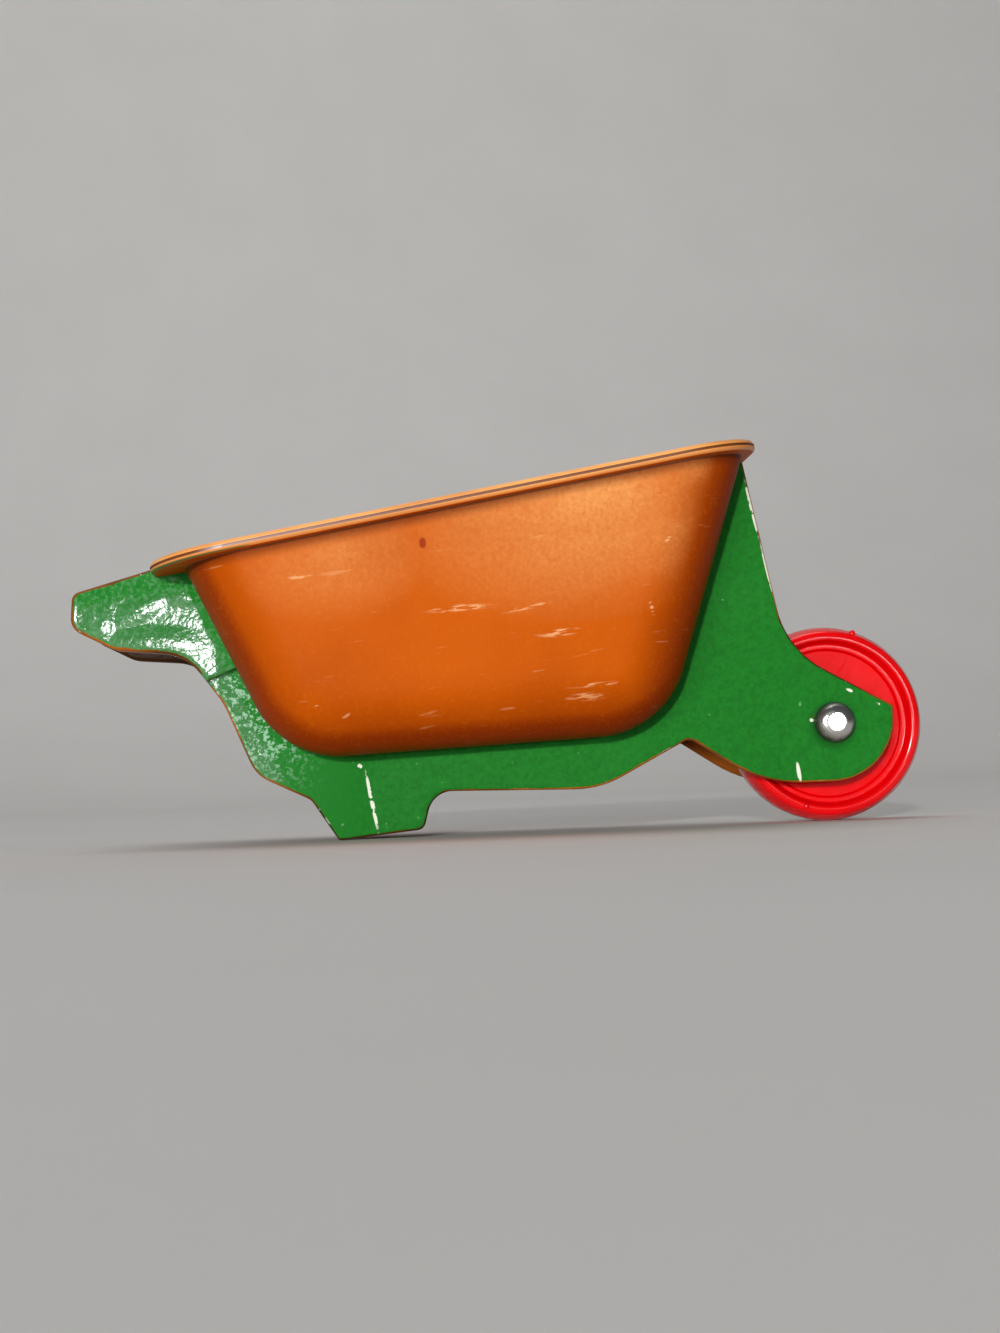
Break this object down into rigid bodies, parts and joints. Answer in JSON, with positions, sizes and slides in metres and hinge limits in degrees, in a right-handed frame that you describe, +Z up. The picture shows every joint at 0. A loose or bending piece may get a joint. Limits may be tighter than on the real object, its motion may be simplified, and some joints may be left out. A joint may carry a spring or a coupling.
{
  "type": "toy wheelbarrow",
  "caption": "Small painted-metal toy wheelbarrow: lipped orange tub on green side frames with handles and feet, and a red plastic wheel that turns on a riveted axle.",
  "frame": {"origin": "on the ground, below the middle of the overall length, midway between the two side frames", "axes": "+X forwards from the handles to the wheel, +Y to the left, +Z up, with the wheel and both feet on the ground"},
  "size_m": [0.0832, 0.0344, 0.0367],
  "materials": {
    "orange_enamel": "satin",
    "green_enamel": "satin",
    "red_plastic": "gloss",
    "axle_steel": "polished"
  },
  "bodies": {
    "barrow": {"tub": "orange_enamel", "right_side_frame": "green_enamel", "left_side_frame": "green_enamel", "axle": "axle_steel"},
    "wheel": {"wheel": "red_plastic"}
  },
  "joints": [
    {"name": "wheel_spin", "type": "hinge", "parent": "barrow", "child": "wheel", "pos_m": [0.03187, 0, 0.0097], "axis": [0, 1, 0], "continuous": true}
  ]
}
